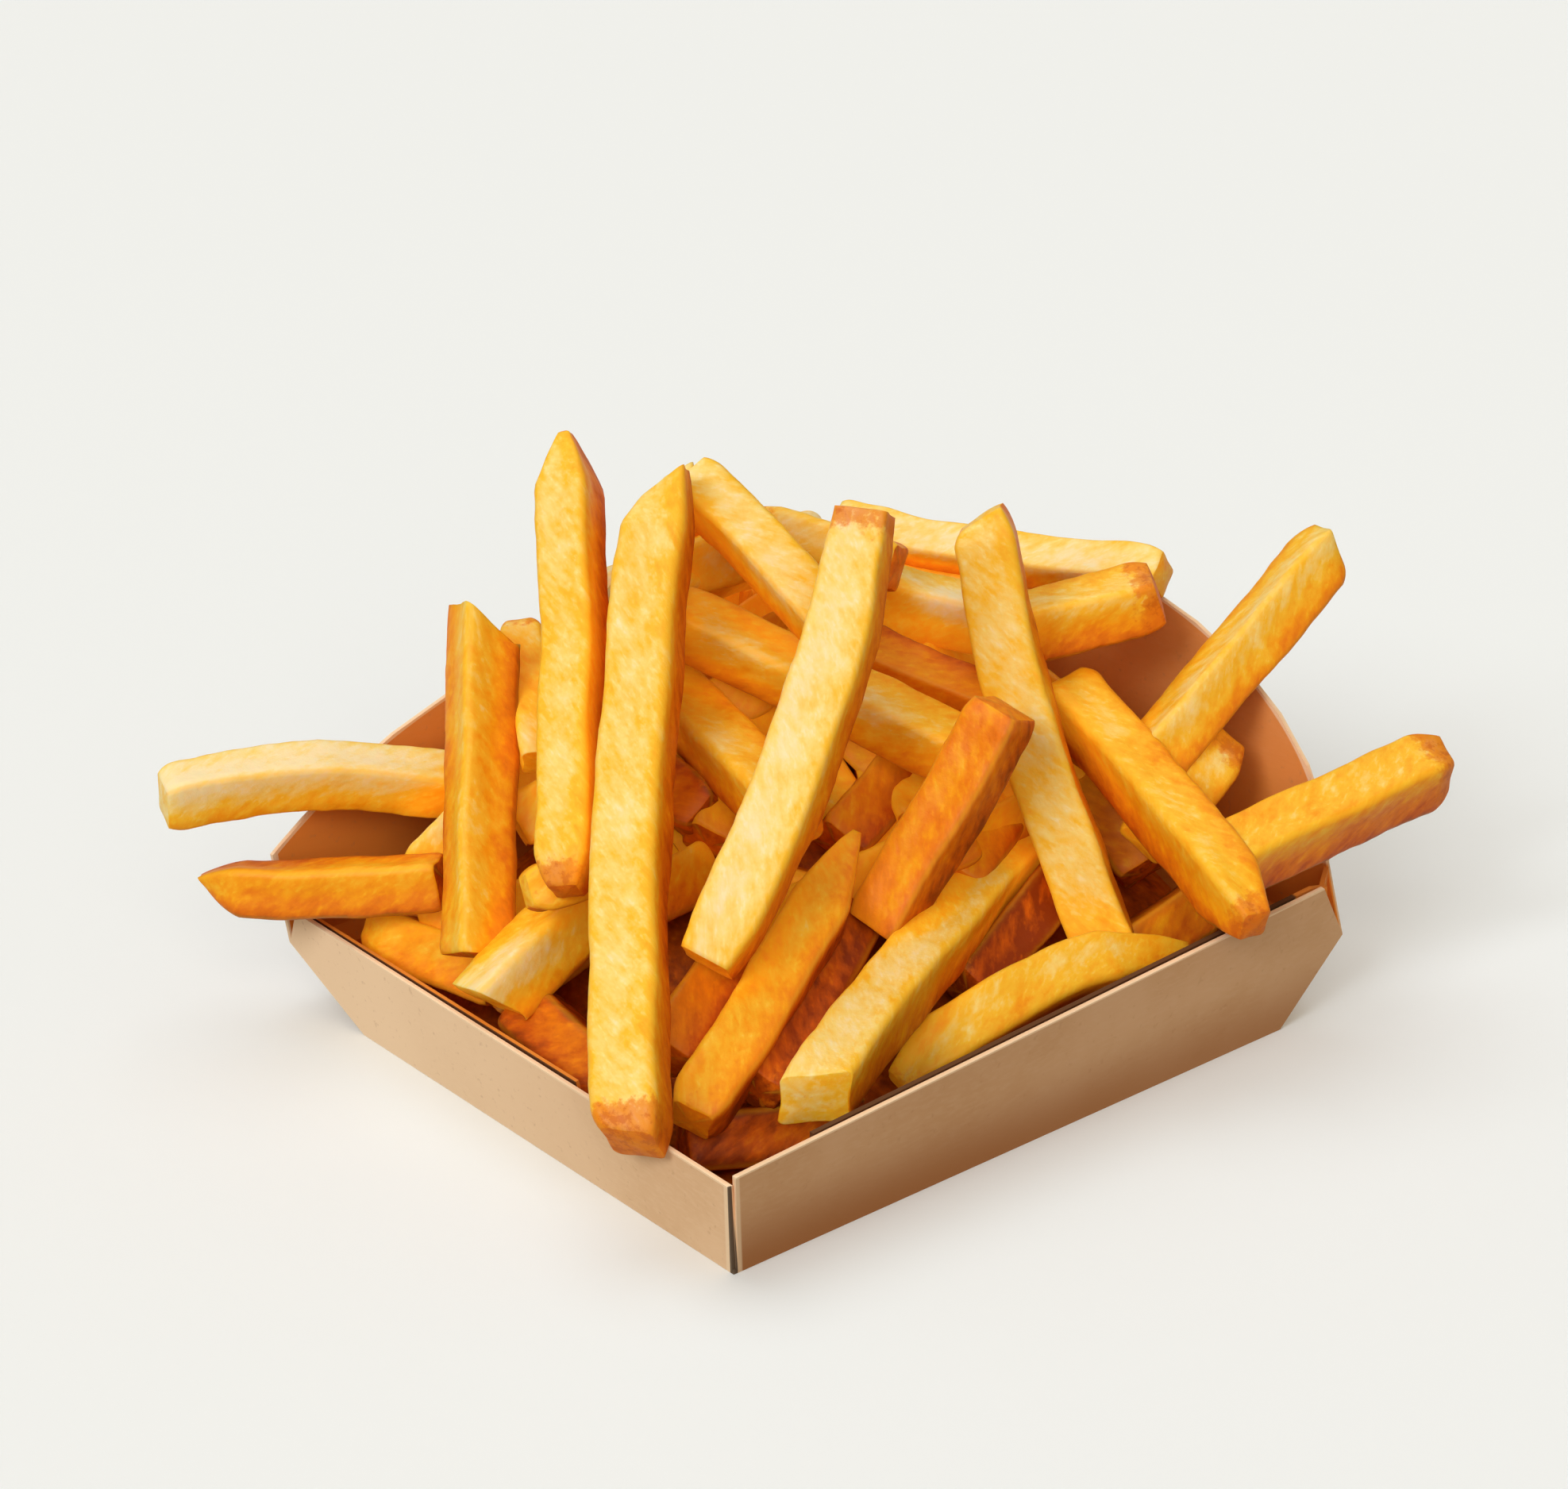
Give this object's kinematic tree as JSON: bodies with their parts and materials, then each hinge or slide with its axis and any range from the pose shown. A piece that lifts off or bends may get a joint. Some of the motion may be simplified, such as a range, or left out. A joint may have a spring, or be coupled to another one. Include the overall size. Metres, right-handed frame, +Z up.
{
  "type": "french fries in a carton",
  "caption": "Heap of thick-cut french fries standing up in a folded kraft-board tray with two low front walls and two tall arched back walls.",
  "frame": {"origin": "centre of the underside of the carton's floor, between its folds", "axes": "+Z up, +X along the low wall that faces -Y, +Y along the low wall that faces -X; the tall walls face +X and +Y"},
  "size_m": [0.1544, 0.1246, 0.0874],
  "materials": {
    "carton_board": "matte",
    "fried_potato": "satin"
  },
  "bodies": {
    "root": {"carton": "carton_board", "fries": "fried_potato"}
  },
  "joints": []
}
